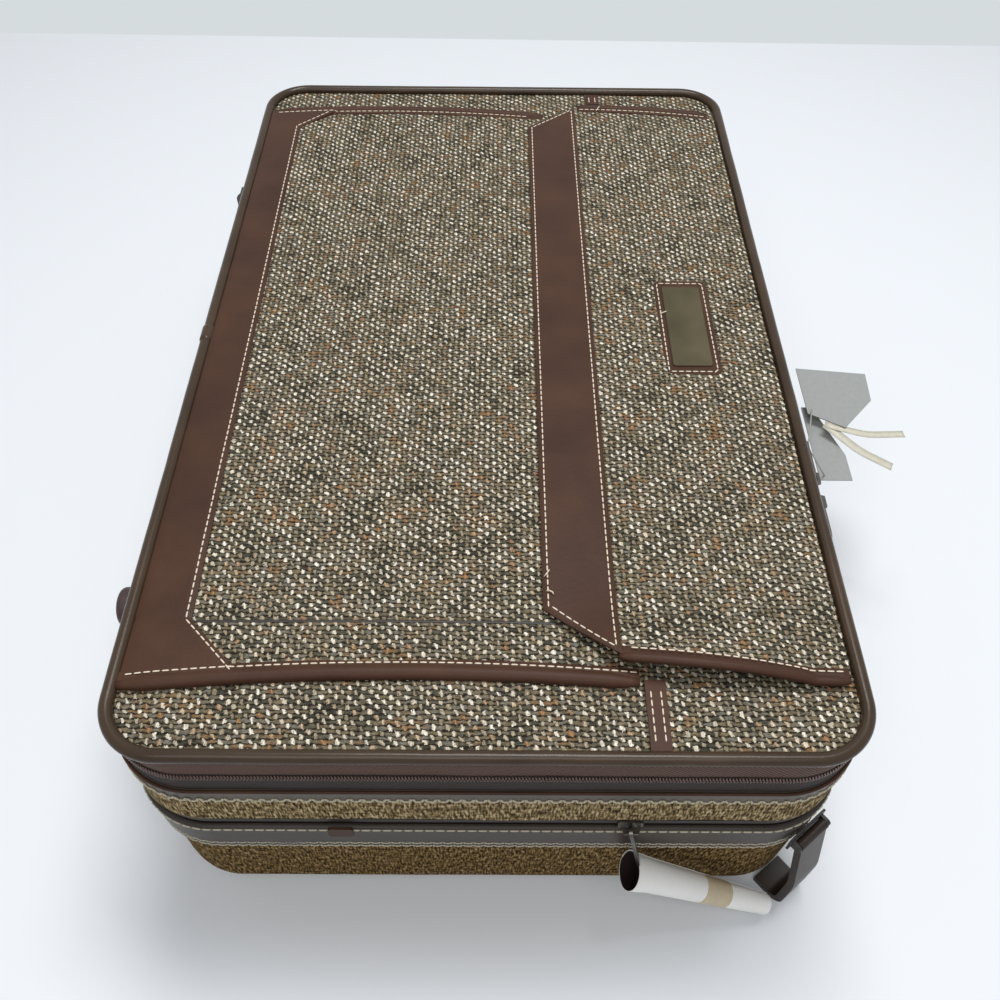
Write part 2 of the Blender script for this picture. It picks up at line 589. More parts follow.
tape_rise = PIPING_LOW + 1 * MM - CHAIN_Z
tape_section = [(-1.3 * MM, CHAIN_Z + 0.3 * MM, 0.0), (-1.1 * MM, CHAIN_Z + 3.2 * MM, 0.1)]
for share in (0.25, 0.5, 0.75):
    tape_section.append((-1.0 * MM * (1 - share), CHAIN_Z + tape_rise * share, share))
tape_section += [(-1.2 * MM, PIPING_LOW + 2 * MM, 1.0), (-2.2 * MM, PIPING_LOW + 2 * MM, 1.0),
                 (-1.5 * MM, CHAIN_Z + tape_rise * 0.5, 0.5), (-1.9 * MM, CHAIN_Z + 0.3 * MM, 0.0)]
lid_tape = band("lid_tape", tape_section, "zip_tape", "lid", [0, 0.4 * MM, 0.6 * MM, 0.4 * MM])
lid_tape.data.materials.append(materials["shaded_tape"])
for poly in lid_tape.data.polygons:
    heights = [lid_tape.data.vertices[k].co.z for k in poly.vertices]
    poly.material_index = int(max(heights) < CHAIN_Z + 3.4 * MM)
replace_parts(lid_tape, "lid_zip_tape")

# %% [markdown]
# The coil is a spiral that is sewn to its tape; each turn shows as a slanting
# bead, and the turns of the two rows lie between each other. On the side that the
# lid turns on there is no zip, only cloth under the leather hinge. Beads like
# these and the stitches further on are many short rods, so each row is one mesh.

# %% Small repeated pieces
def along_line(line, pitch, closed=True, start=0.0):
    """Even places on a line: (point, direction) at each pitch."""
    loop = np.vstack([line, line[:1]]) if closed else np.asarray(line, float)
    steps = np.linalg.norm(np.diff(loop, axis=0), axis=1)
    far = np.concatenate([[0], np.cumsum(steps)])
    count = int(round((far[-1] - 2 * start) / pitch))
    count = max(count, 1)
    if closed:
        at = (np.arange(count) + 0.5) * far[-1] / count
    else:
        at = start + (np.arange(count) + 0.5) * (far[-1] - 2 * start) / count
    spots = np.column_stack([np.interp(at, far, loop[:, k]) for k in range(3)])
    index = np.clip(np.searchsorted(far, at) - 1, 0, len(steps) - 1)
    ways = (loop[index + 1] - loop[index]) / steps[index][:, None]
    return spots, ways


def capsules(name, starts, ends, radius, material, body, sides=5, flat=1.0, ups=None):
    """Many short rods with rounded ends, as one mesh."""
    starts, ends = np.asarray(starts, float), np.asarray(ends, float)
    axis = ends - starts
    length = np.linalg.norm(axis, axis=1)[:, None]
    axis = axis / length
    up = np.tile([0.0, 0.0, 1.0], (len(starts), 1)) if ups is None else np.asarray(ups, float)
    side = np.cross(up, axis)
    side /= np.linalg.norm(side, axis=1)[:, None]
    top = np.cross(axis, side)
    stations = ((0.0, 0.45), (0.18, 1.0), (0.82, 1.0), (1.0, 0.45))
    faces = []
    per = sides * len(stations)
    rings = []
    for share, wide in stations:
        for k in range(sides):
            turn = 2 * math.pi * (k + 0.5) / sides
            turned = side * math.cos(turn) + top * math.sin(turn) * flat
            rings.append(starts + axis * length * share + turned * radius * wide)
    points = np.stack(rings, 1).reshape(-1, 3)
    one = []
    for j in range(len(stations) - 1):
        for k in range(sides):
            n = (k + 1) % sides
            one.append((j * sides + k, j * sides + n, (j + 1) * sides + n, (j + 1) * sides + k))
    one.append(tuple(range(sides))[::-1])
    one.append(tuple(range((len(stations) - 1) * sides, per)))
    for i in range(len(starts)):
        faces += [tuple(i * per + v for v in face) for face in one]
    return mesh_piece(name, points, faces, material, body)


HINGE_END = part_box("zip_end_tabs")[1].y - 6 * MM
TURN_PITCH = 1.8 * MM


def coil_row(name, out, z, share, drop, body, phase, hinge_gap=True, reach=2.3 * MM,
             thick=0.58 * MM, material="zip_row"):
    """One row of a coil: a slanting bead for each turn, and none along the hinge if it has a gap there."""
    spots, ways = along_line(ring_line(out, z, share), TURN_PITCH)
    if hinge_gap:
        keep = ~((spots[:, 0] < 0) & (abs(spots[:, 1]) < HINGE_END))
        spots, ways = spots[keep], ways[keep]
    spots = spots + ways * TURN_PITCH * phase
    outward = np.column_stack([ways[:, 1], -ways[:, 0], np.zeros(len(ways))])
    starts = spots + ways * 0.35 * MM + [0, 0, 0.35 * MM * -drop] + outward * 0.35 * MM
    ends = spots - ways * 0.35 * MM + [0, 0, reach * drop] - outward * 0.1 * MM
    return capsules(name, starts, ends, thick, material, body)


lower_coil = coil_row("lid_zip_coil_rim", -0.5 * MM, CHAIN_Z - 0.5 * MM, 0.0, -1, "rim", 0.0)
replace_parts(lower_coil, "rim_zip_row")
upper_coil = coil_row("lid_zip_coil_lid", -0.5 * MM, CHAIN_Z + 0.5 * MM, 0.0, 1, "lid", 0.5)
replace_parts(upper_coil, "lid_zip_row")
groove_z = (strip_high + band_low) / 2
for name, drop, body, phase in (("expander_coil_case", -1, "case", 0.0), ("expander_coil_rim", 1, "rim", 0.5)):
    row = coil_row(name, -2.6 * MM, groove_z + 0.1 * MM * drop, 0.0, drop, body, phase, hinge_gap=False,
                   reach=1.7 * MM, thick=0.45 * MM, material="shaded_row")
print("coil turns", len(lower_coil.data.vertices) // 20)

# %% [markdown]
# ## The front panel
# The panel is tweed laid over a board and held by the piping. On it lies a wide
# flat pocket, and the flap that closes it. Cloth like this is cut flat, sewn down
# at its edges and lightly padded, so it swells a little between its seams. All
# three are fine grids. A short cloth run lifts the pocket and the flap while
# their borders are held, and gives the form of the swelling. Its height is set by
# hand, to look like the photograph.

# %% Cloth panels
def patch(name, low, high, first, last, counts, z, material, body, along="x", lift=None,
          thick=1.6 * MM, drop=0.9 * MM, rows=None):
    """A sheet over x-y between two edges, with a turned-down border and a flat underside."""
    n, m = counts
    rows = [j / m for j in range(m + 1)] if rows is None else rows
    m = len(rows) - 1
    places = np.zeros((n + 1, m + 1, 3))
    for i in range(n + 1):
        a = low + (high - low) * i / n
        edge_a, edge_b = first(a), last(a)
        for j in range(m + 1):
            b = edge_a + (edge_b - edge_a) * rows[j]
            places[i, j] = (a, b, z) if along == "x" else (b, a, z)
            if lift:
                places[i, j, 2] += lift(places[i, j, 0], places[i, j, 1])
    count = (n + 1) * (m + 1)
    top = places.reshape(-1, 3).copy()
    edge = np.zeros((n + 1, m + 1), bool)
    edge[0, :] = edge[-1, :] = edge[:, 0] = edge[:, -1] = True
    top[edge.ravel(), 2] -= drop
    under = top.copy()
    under[:, 2] = places.reshape(-1, 3)[:, 2] - thick
    faces, uv = [], []

    def add_face(corners):
        faces.append(corners)
        for c in corners:
            uv.append((top[c % count, 0], top[c % count, 1]))

    flip = along != "x"
    for i in range(n):
        for j in range(m):
            a, b, c, d = i * (m + 1) + j, (i + 1) * (m + 1) + j, (i + 1) * (m + 1) + j + 1, i * (m + 1) + j + 1
            add_face((a, d, c, b) if flip else (a, b, c, d))
            add_face(tuple(count + v for v in ((a, b, c, d) if flip else (a, d, c, b))))
    rim = [i * (m + 1) for i in range(n)] + [n * (m + 1) + j for j in range(m)]
    rim += [(n - i) * (m + 1) + m for i in range(n)] + [m - j for j in range(m)]
    for a, b in zip(rim, rim[1:] + rim[:1]):
        add_face((b, a, count + a, count + b) if not flip else (a, b, count + b, count + a))
    piece = mesh_piece(name, np.vstack([top, under]), faces, material, body, uv)
    piece.data.set_sharp_from_angle(angle=math.radians(60))
    return piece


CLOTH_FRAMES, CLOTH_PRESSURE = 20, 4.0


def swell(piece, limit):
    """Lifts a sheet's upper face with a short cloth run. Its border and underside are held."""
    data = piece.data
    rest = np.array([v.co for v in data.vertices])
    half = len(rest) // 2
    group = piece.vertex_groups.new(name="held")
    group.add([int(k) for k in range(half, len(rest))], 1.0, "REPLACE")
    rims = set()
    for poly in data.polygons:
        corners = list(poly.vertices)
        if any(c >= half for c in corners) and any(c < half for c in corners):
            rims.update(c for c in corners if c < half)
    group.add([int(k) for k in rims], 1.0, "REPLACE")
    cloth = piece.modifiers.new("cloth", "CLOTH")
    cloth.settings.quality = 5
    cloth.settings.mass = 0.3
    cloth.settings.tension_stiffness = 25
    cloth.settings.compression_stiffness = 25
    cloth.settings.bending_stiffness = 6
    cloth.settings.vertex_group_mass = "held"
    cloth.settings.use_pressure = True
    cloth.settings.uniform_pressure_force = CLOTH_PRESSURE
    cloth.settings.effector_weights.gravity = 0.0
    cloth.collision_settings.use_collision = False
    cloth.point_cache.frame_start = 1
    cloth.point_cache.frame_end = CLOTH_FRAMES
    for step in range(1, CLOTH_FRAMES + 1):
        bpy.context.scene.frame_set(step)
    view = bpy.context.evaluated_depsgraph_get()
    moved = np.array([v.co for v in piece.evaluated_get(view).data.vertices])
    piece.modifiers.remove(cloth)
    bpy.context.scene.frame_set(1)
    rise = np.clip(moved[:half, 2] - rest[:half, 2], 0, None)
    peak = max(float(rise.max()), 1e-6)
    rest[:half, 2] += limit * np.tanh(1.6 * rise / peak)
    data.vertices.foreach_set("co", rest.astype(np.float32).ravel())
    data.update()
    return piece


def box_of(node_name):
    lowest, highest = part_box(node_name)
    return lowest.x, highest.x, lowest.y, highest.y


def bow(start, middle, end, low, high):
    """A gentle arc through three heights."""
    centre = (low + high) / 2
    half = (high - low) / 2

    def value(x):
        t = (x - centre) / half
        return middle + (end - start) / 2 * t + ((start + end) / 2 - middle) * t * t
    return value


x0, x1, y0, y1 = box_of("lid_cover")
UNDER_PIPING = 2.5 * MM
x0, x1, y1 = x0 - UNDER_PIPING, x1 + UNDER_PIPING, y1 + UNDER_PIPING
panel_radius = 30 * MM


def panel_edge(sign):
    def value(x):
        past = max(abs(x) - (x1 - panel_radius), 0)
        reach = y1 if sign > 0 else -y0
        return sign * (reach - panel_radius + math.sqrt(max(panel_radius ** 2 - past ** 2, 0)))
    return value


def panel_wave(x, y):
    return 0.5 * MM * noise.noise(Vector((x * 16, y * 16, 1))) - 0.2 * MM


panel = patch("panel_cloth", x0, x1, panel_edge(-1), panel_edge(1), (80, 130), PANEL_TOP, "tweed", "lid",
              lift=panel_wave)
panel.data.materials.append(materials["lining"])
panel_half = len(panel.data.vertices) // 2
for poly in panel.data.polygons:
    poly.material_index = int(all(k >= panel_half for k in poly.vertices))
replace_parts(panel, "lid_cover")

px0, px1, py0, py1 = box_of("pocket_panel")
SEAM_Y = py0 + 36 * MM
POCKET_ROWS = 116


def pocket_lift(x, y):
    """A seam crosses the pocket near its end: the cloth dips into it."""
    dip = 1.7 * MM * math.exp(-((y - SEAM_Y) / (0.8 * MM)) ** 2)
    if y < SEAM_Y:
        dip += 0.8 * MM * math.exp((y - SEAM_Y) / (8 * MM))
    broad = 0.9 * MM * noise.noise(Vector((x * 11, y * 11, 5)))
    return broad + 0.35 * MM * noise.noise(Vector((x * 40, y * 40, 2))) - dip


pocket_rows = [py0 + (py1 - py0) * k / POCKET_ROWS for k in range(POCKET_ROWS + 1)]
pocket_rows += [SEAM_Y + k * 0.4 * MM for k in range(-5, 6)]
pocket_rows = [(y - py0) / (py1 - py0) for y in sorted(set(pocket_rows))]
pocket = patch("pocket_cloth", px0, px1, lambda x: py0, lambda x: py1, (52, 0), POCKET_TOP, "tweed", "lid",
               lift=pocket_lift, thick=1.7 * MM, rows=pocket_rows)
swell(pocket, 2.2 * MM)
pocket_points = np.array([v.co for v in pocket.data.vertices])
on_seam = abs(pocket_points[:, 1] - SEAM_Y) < 0.1 * MM
seam_rows = pocket_points[on_seam & (pocket_points[:, 2] > POCKET_TOP - 3 * MM)]
seam_rows = seam_rows[np.argsort(seam_rows[:, 0])][2:-2]
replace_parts(pocket, "pocket_panel")

fx0, fx1, fy0, fy1 = box_of("flap_panel")
BAND_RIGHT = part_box("flap_band")[1].x
BAND_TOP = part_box("flap_band")[1].z
CHAMFER = 33 * MM
NEAR_TIP, FAR_TIP = fy0 + 12 * MM, fy1
FAR_ROOT = fy1 - 12 * MM


def flap_near(x):
    if x < BAND_RIGHT:
        return NEAR_TIP + CHAMFER * (BAND_RIGHT - x) / (BAND_RIGHT - fx0)
    return NEAR_TIP + (fy0 - NEAR_TIP) * (x - BAND_RIGHT) / (fx1 - BAND_RIGHT)


def flap_far(x):
    if x < BAND_RIGHT:
        return FAR_TIP - CHAMFER * (BAND_RIGHT - x) / (BAND_RIGHT - fx0)
    return FAR_TIP + (FAR_ROOT - FAR_TIP) * (x - BAND_RIGHT) / (fx1 - BAND_RIGHT)


def flap_rise(x, y):
    """The flap's near end stands up a little from the pocket, and its mouth bows."""
    near = max(0.0, 1 - (y - fy0) / (70 * MM))
    share = (x - fx0) / (fx1 - fx0)
    rise = 12.0 * MM * near ** 2 * math.sin(math.pi * min(max(share * 1.15, 0), 1)) ** 0.8
    return rise + 0.5 * MM * noise.noise(Vector((x * 12, y * 12, 9)))


flap = patch("flap_cloth", fx0 + 4 * MM, fx1, flap_near, flap_far, (34, 150), FLAP_HIGH, "tweed", "flap",
             lift=flap_rise, thick=1.7 * MM)
swell(flap, 1.6 * MM)
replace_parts(flap, "flap_panel")
print("pocket", round(px1 - px0, 3), "by", round(py1 - py0, 3))

# %% [markdown]
# ## Leather on the front panel
# The flap's band and the trim beside the pocket are cut from firm leather, sewn
# a few millimetres in from their edges. Each edge is pressed down.

# %% Leather pieces
def leather_lift(x, y):
    return 0.35 * MM * noise.noise(Vector((x * 30, y * 18, 4)))


TIP_DROP = 5 * MM


def band_rise(x, y):
    return flap_rise(x, y) + leather_lift(x, y) + 0.5 * MM


flap_leather = patch("flap_leather", fx0, BAND_RIGHT, lambda x: flap_near(x) - TIP_DROP, flap_far, (14, 190),
                     BAND_TOP + 0.6 * MM, "leather", "flap", lift=band_rise, thick=2.0 * MM)
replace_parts(flap_leather, "flap_band")

tx0, tx1, ty0, ty1 = box_of("side_trim")
TRIM_X = tx0 + 28 * MM
tx0 -= UNDER_PIPING
TRIM_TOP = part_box("side_trim")[1].z
MITRE = 36 * MM


def trim_right(y):
    if y < ty0 + MITRE:
        return TRIM_X + 2 * MM + (MITRE - 2 * MM) * (1 - (y - ty0) / MITRE)
    far_start = ty1 - MITRE + 8 * MM
    if y > far_start:
        return TRIM_X - 2 * MM + (MITRE - 6 * MM) * (y - far_start) / (ty1 - far_start)
    return TRIM_X + 2 * MM - 4 * MM * (y - ty0 - MITRE) / (far_start - ty0 - MITRE)


def trim_lift(x, y):
    return pocket_lift(x, y) * 0.5 + leather_lift(x, y) + 1.0 * MM * (1 - math.exp(-(x - tx0) / (12 * MM)))


trim = patch("trim_leather", ty0, ty1, lambda y: tx0, trim_right, (190, 12), TRIM_TOP, "leather", "lid",
             along="y", lift=trim_lift, thick=2.6 * MM)
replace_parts(trim, "side_trim")
print("trim", round(tx1 - tx0, 3))

# %% [markdown]
# Each roll of leather along the pocket's ends hides a cord: it is round on the
# panel's side, and a flat wing of it is sewn to the cloth.

# %% Welts
def tube(name, path, radius, material, body, squash=1.0, sides=14, taper=True):
    """A round roll along a path, with closed ends."""
    path = np.asarray(path, float)
    ways = np.gradient(path, axis=0)
    ways /= np.linalg.norm(ways, axis=1)[:, None]
    points, faces = [], []
    count = len(path)
    for i, (spot, way) in enumerate(zip(path, ways)):
        side = np.cross(way, [0, 0, 1.0])
        side /= np.linalg.norm(side)
        up = np.cross(side, way)
        end = min(i, count - 1 - i)
        full = radius * (0.55 + 0.45 * min(end / 3, 1)) if taper else radius
        for k in range(sides):
            turn = 2 * math.pi * k / sides
            points.append(spot + (side * math.cos(turn) + up * math.sin(turn) * squash) * full)
    for i in range(count - 1):
        for k in range(sides):
            n = (k + 1) % sides
            faces.append((i * sides + k, (i + 1) * sides + k, (i + 1) * sides + n, i * sides + n))
    faces.append(tuple(range(sides)))
    faces.append(tuple((count - 1) * sides + k for k in range(sides))[::-1])
    return mesh_piece(name, points, faces, material, body)


def welt(name, x_from, x_to, line, side, radius, z, body, rise=None):
    """A roll along y = line(x), with its sewn wing on the side given by the sign."""
    path = []
    for x in np.linspace(x_from, x_to, 60):
        waver = 0.25 * MM * noise.noise(Vector((x * 40, 3, 1)))
        path.append((x, line(x), z + (rise(x, line(x)) if rise else 0.0) + waver))
    roll = tube(name, path, radius, "leather", body, squash=0.86)
    wing = 7.5 * MM
    first = line if side > 0 else (lambda x: line(x) - wing)
    last = (lambda x: line(x) + wing) if side > 0 else line
    flat = patch(name + "_wing", x_from, x_to, first, last, (60, 4), z + radius * 0.45, "leather", body,
                 lift=rise, thick=1.6 * MM, drop=0.7 * MM)
    return roll


wx0, wx1, wy0, wy1 = box_of("pocket_welts")
near_line = bow(wy0 + 5.3 * MM, wy0 + 14 * MM, wy0 + 8.5 * MM, wx0, wx1)
far_line = bow(wy1 - 11 * MM, wy1 - 5.3 * MM, wy1 - 14.5 * MM, wx0, fx0 + 14 * MM)
welt_z = PANEL_TOP + 1.6 * MM
near_roll = welt("near_roll", wx0 - UNDER_PIPING, wx1, near_line, 1, 4.6 * MM, welt_z, "lid")
welt("far_roll", wx0, fx0 + 14 * MM, far_line, -1, 3.6 * MM, welt_z, "lid")
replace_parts(near_roll, "pocket_welts")

gx0, gx1, gy0, gy1 = box_of("flap_welts")
flap_near_line = bow(gy0 + 13 * MM, gy0 + 6.5 * MM, gy0 + 3.5 * MM, gx0, gx1)
flap_far_line = bow(gy1 - 3.5 * MM, gy1 - 6 * MM, gy1 - 14 * MM, gx0, gx1)
flap_roll = welt("flap_near_roll", gx0 - 5 * MM, gx1 + 8 * MM, flap_near_line, 1, 3.0 * MM, FLAP_LOW + 1.8 * MM,
                 "flap", rise=flap_rise)
welt("flap_far_roll", gx0, gx1 + 4 * MM, flap_far_line, -1, 3.2 * MM, FLAP_LOW + 1.2 * MM, "flap")
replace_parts(flap_roll, "flap_welts")
print("welts", round(wx1 - wx0, 3), round(gx1 - gx0, 3))

# %% [markdown]
# ## Stitches
# Cream thread frames the leather of the front panel, about five millimetres from
# stitch to stitch. Olive and grey thread runs round the walls, in stitches of six
# to seven. Each stitch is a short flat rod that narrows at its ends.

# %% Stitch lines
def stitch_line(name, path, body, normal=None, pitch=5.0 * MM, length=3.9 * MM, radius=0.5 * MM,
                material="thread", closed=False):
    path = np.asarray(path, float)
    spots, ways = along_line(path, pitch, closed, start=0.8 * MM if not closed else 0.0)
    if normal is None:
        outward = np.column_stack([ways[:, 1], -ways[:, 0], np.zeros(len(ways))])
        outward /= np.maximum(np.linalg.norm(outward, axis=1), 1e-9)[:, None]
    else:
        outward = np.tile(normal, (len(spots), 1)).astype(float)
    starts = spots - ways * length / 2
    ends = spots + ways * length / 2
    piece = capsules(name, starts, ends, radius, material, body, flat=0.6, ups=outward)
    return piece


def on_top(xy, z_of):
    return [(x, y, z_of(x, y)) for x, y in xy]


def flap_leather_z(x, y):
    return BAND_TOP + 0.62 * MM + band_rise(x, y)


def path_xy(corners, step=3 * MM):
    out = []
    for (ax, ay), (bx, by) in zip(corners, corners[1:]):
        count = max(int(math.hypot(bx - ax, by - ay) / step), 1)
        out += [(ax + (bx - ax) * k / count, ay + (by - ay) * k / count) for k in range(count)]
    return out + [corners[-1]]


UP = (0, 0, 1)
IN = 3.0 * MM
mouth = [(BAND_RIGHT - IN, NEAR_TIP), (fx0 + IN, NEAR_TIP + CHAMFER - 2 * MM),
         (fx0 + IN, FAR_TIP - CHAMFER - 3 * MM), (BAND_RIGHT - IN, FAR_TIP - 6 * MM)]
stitch_line("flap_mouth_stitches", on_top(path_xy(mouth), flap_leather_z), "flap", UP)
inside = [(BAND_RIGHT - IN, NEAR_TIP), (BAND_RIGHT - IN, FAR_TIP - 6 * MM)]
stitch_line("flap_inner_stitches", on_top(path_xy(inside), flap_leather_z), "flap", UP)


def trim_z(x, y):
    return TRIM_TOP + trim_lift(x, y) + 0.05 * MM


trim_path = [(trim_right(y) - IN, y) for y in np.linspace(ty0 + 3 * MM, ty1 - 3 * MM, 200)]
stitch_line("trim_stitches", on_top(trim_path, trim_z), "lid", UP)

for name, line, x_from, x_to, side, z, rise, body in (
        ("near_roll_stitches", near_line, wx0, wx1, 1, welt_z + 2.2 * MM, None, "lid"),
        ("far_roll_stitches", far_line, wx0 + 3 * MM, fx0, -1, welt_z + 1.75 * MM, None, "lid"),
        ("flap_near_stitches", flap_near_line, gx0, gx1 + 6 * MM, 1, FLAP_LOW + 3.5 * MM, flap_rise, "flap"),
        ("flap_far_stitches", flap_far_line, gx0, gx1 + 2 * MM, -1, FLAP_LOW + 2.75 * MM, None, "flap")):
    path = []
    for x in np.linspace(x_from, x_to, 90):
        y = line(x) + side * 5.0 * MM
        top = z + (rise(x, line(x)) if rise else 0.0)
        path.append((x, y, max(top, trim_z(x, y)) if x < trim_right(y) and body == "lid" else top))
    stitch_line(name, path, body, UP)

qx0, qx1, qy0, qy1 = box_of("name_patch")
PATCH_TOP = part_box("name_patch")[1].z
corner = 3 * MM
ring = []
patch_corners = ((qx1 - IN, qy1 - IN, 0), (qx0 + IN, qy1 - IN, 90), (qx0 + IN, qy0 + IN, 180),
                 (qx1 - IN, qy0 + IN, 270))
for cx, cy, start in patch_corners:
    for step in range(6):
        turn = math.radians(start + 18 * step)
        centre_x = cx - corner * (1 if start in (0, 270) else -1)
        centre_y = cy - corner * (1 if start in (0, 90) else -1)
        ring.append((centre_x + corner * math.cos(turn), centre_y + corner * math.sin(turn),
                     PATCH_TOP + 0.05 * MM))
stitch_line("patch_stitches", ring, "flap", UP, closed=True)

ax0, ax1, ay0, ay1 = box_of("panel_tabs")
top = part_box("panel_tabs")[1].z + 0.05 * MM
for k, x in enumerate((ax0 + 3 * MM, ax1 - 3 * MM)):
    for j, (a, b) in enumerate(((ay0 + 4 * MM, ay0 + 36 * MM), (ay1 - 14 * MM, ay1 - 4 * MM))):
        stitch_line(f"tab_stitches_{k}{j}", [(x, a, top), (x, b, top)], "lid", UP)


def scallops(name, line, pitch, depth, radius, body, material="grey_thread", up=1):
    """Shallow bows of thread, end to end, as a machine leaves them on an edge."""
    spots, ways = along_line(line, pitch)
    outward = np.column_stack([ways[:, 1], -ways[:, 0], np.zeros(len(ways))])
    rise = np.array([0, 0, depth * up])
    left, right_end = spots - ways * pitch * 0.46 + rise, spots + ways * pitch * 0.46 + rise
    low_left, low_right = spots - ways * pitch * 0.2, spots + ways * pitch * 0.2
    starts = np.vstack([left, low_left, low_right])
    ends = np.vstack([low_left, low_right, right_end])
    piece = capsules(name, starts, ends, radius, material, body, flat=0.7, ups=np.vstack([outward] * 3))
    return piece


strip_out = 1.75 * MM
WALL_PITCH = 6.3 * MM
stitch_line("strip_top_stitches", ring_line(strip_out, strip_high - 2.2 * MM), "case", pitch=WALL_PITCH,
            length=5.4 * MM, radius=0.85 * MM, material="olive_thread", closed=True)
for name, rise in (("strip_low_stitches", 6 * MM), ("strip_edge_stitches", 1.2 * MM)):
    edge_line = ring_line(lean(strip_low) + strip_out, strip_low + rise)
    scallops(name, edge_line, WALL_PITCH, 1.6 * MM, 0.75 * MM, "case")
scallops("binding_stitches", ring_line(1.0 * MM, BAND_HIGH + 0.8 * MM), 7.0 * MM, 3.2 * MM, 0.9 * MM, "rim",
         "olive_thread")
seam_path = seam_rows + [0, 0, 0.4 * MM]
seam_roll = tube("pocket_seam", seam_path, 0.9 * MM, "shaded_row", "lid", squash=0.35, sides=8, taper=False)
print("stitches laid")

# %% [markdown]
# ## The cloth between case and rim, and the remaining soft parts
# When the second zip is open, a gusset of lining cloth lets the rim rise. Its
# lower edge is sewn to the case and its upper edge to the rim, so it is blended
# from one body to the other. Where the lid turns, a strip of the same cloth
# behind the tapes joins it to the rim. Linings, patches and straps keep the
# outline of their solids, but their faces are divided and waver a little, as
# leather and glued cloth do.

# %% Gusset and soft parts
gusset_low, gusset_high = level("expansion_gusset", False), level("expansion_gusset", True)
gusset_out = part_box("expansion_gusset")[1].x - WALL_HALF.x
gusset_rows = np.linspace(gusset_low, gusset_high, 13)
GUSSET_CLOTH, GUSSET_FOLD = 0.8 * MM, 0.25 * MM


def gusset_face(inset):
    """One face of the gusset in section, with small folds that go in and out by turns."""
    return [(gusset_out - inset + GUSSET_FOLD * (-1) ** k, z, 0.0) for k, z in enumerate(gusset_rows)]


gusset_section = gusset_face(0.0) + gusset_face(GUSSET_CLOTH)[::-1]
gusset = band("gusset_cloth", gusset_section, "lining", None, sharp=70)
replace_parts(gusset, "expansion_gusset")
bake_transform(gusset)

HINGE_REACH, HINGE_CLOTH, HINGE_STEPS = 4 * MM, 0.7 * MM, 60
hinge_x = -(WALL_HALF.x - 2.2 * MM)
hinge_rows = np.linspace(CHAIN_Z - HINGE_REACH, CHAIN_Z + HINGE_REACH, 9)
hinge_section = [(hinge_x, z) for z in hinge_rows] + [(hinge_x + HINGE_CLOTH, z) for z in hinge_rows[::-1]]
hinge_points = [(x, y, z) for y in np.linspace(-HINGE_END, HINGE_END, HINGE_STEPS) for x, z in hinge_section]
wide = len(hinge_section)
hinge_faces = [(i * wide + k, i * wide + (k + 1) % wide, (i + 1) * wide + (k + 1) % wide, (i + 1) * wide + k)
               for i in range(HINGE_STEPS - 1) for k in range(wide)]
hinge_faces += [tuple(range(wide))[::-1], tuple((HINGE_STEPS - 1) * wide + k for k in range(wide))]
hinge_cloth = mesh_piece("hinge_cloth", hinge_points, hinge_faces, "lining", None)
hinge_cloth.data.set_sharp_from_angle(angle=math.radians(60))
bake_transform(hinge_cloth)


MOST_CUTS = 7


def softened(name, node_name, material, body, sway, size=14 * MM):
    """A solid's own form with divided faces that waver. Its map is laid flat by each face's direction."""
    solid = frame["nodes"][node_name]
    form = bmesh.new()
    form.from_mesh(solid.data)
    form.transform(solid.matrix_world)
    bmesh.ops.triangulate(form, faces=form.faces[:])
    for _ in range(MOST_CUTS):
        long_edges = [edge for edge in form.edges if edge.calc_length() > size]
        if not long_edges:
            break
        bmesh.ops.subdivide_edges(form, edges=long_edges, cuts=1)
        bmesh.ops.triangulate(form, faces=[face for face in form.faces if len(face.verts) > 3])
    for vert in form.verts:
        vert.co += noise.noise_vector(vert.co * 20) * sway
    form.normal_update()
    points = [tuple(vert.co) for vert in form.verts]
    faces, uv = [], []
    for face in form.faces:
        faces.append(tuple(vert.index for vert in face.verts))
        facing = max(range(3), key=lambda k: abs(face.normal[k]))
        flat = [k for k in range(3) if k != facing]
        uv += [(vert.co[flat[0]], vert.co[flat[1]]) for vert in face.verts]
    form.free()
    piece = mesh_piece(name, points, faces, material, body, uv)
    piece.data.set_sharp_from_angle(angle=math.radians(35))
    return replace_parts(piece, node_name)


for name, node_name, material, body, slot, sway in (
        ("back_cloth", "back_panel", "tweed", "case", "tweed", 0.3),
        ("body_lining_cloth", "body_lining", "lining", "case", "lining", 0.4),
        ("rim_lining_cloth", "rim_lining", "lining", "rim", "lining", 0.2),
        ("lid_lining_cloth", "lid_lining", "lining", "lid", "lining", 0.4),
        ("tie_webbing", "tie_straps", "webbing", "case", "webbing", 0.4),
        ("hinge_leather", "hinge_strip", "binding", "rim", "leather", 0.2),
        ("zip_end_leather", "zip_end_tabs", "leather", "rim", "leather", 0.15),
        ("tab_leather", "panel_tabs", "leather", "lid", "leather", 0.25),
        ("patch_leather", "name_patch", "leather", "flap", "leather", 0.25),
        ("tongue_leather", "strip_tongue", "leather", "case", "leather", 0.15),
        ("pad_leather", "handle_pad", "leather", "case", "leather", 0.2)):
    piece = softened(name, node_name, material, body, sway * MM)
    print(name, len(piece.data.polygons))

# %% [markdown]
# ## Paper on the pulls
# A strip of white paper is rolled round the expander's pull and held with a band
# of tape. Two narrow ribbons hang beside the blank cards on the lid's pull.

# %% Paper roll and ribbons
roll_low, roll_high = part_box("pull_sleeve")
blade_low, blade_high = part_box("expander_pull")
roll_start = Vector((blade_high.x - 8 * MM, (roll_low.y + roll_high.y) / 2, blade_low.z + 4 * MM))
roll_way = Vector((math.sin(math.radians(56)), 0, -math.cos(math.radians(56))))
roll_side = Vector((0, 1, 0))
roll_up = roll_side.cross(roll_way)
ROLL_LENGTH = 117 * MM


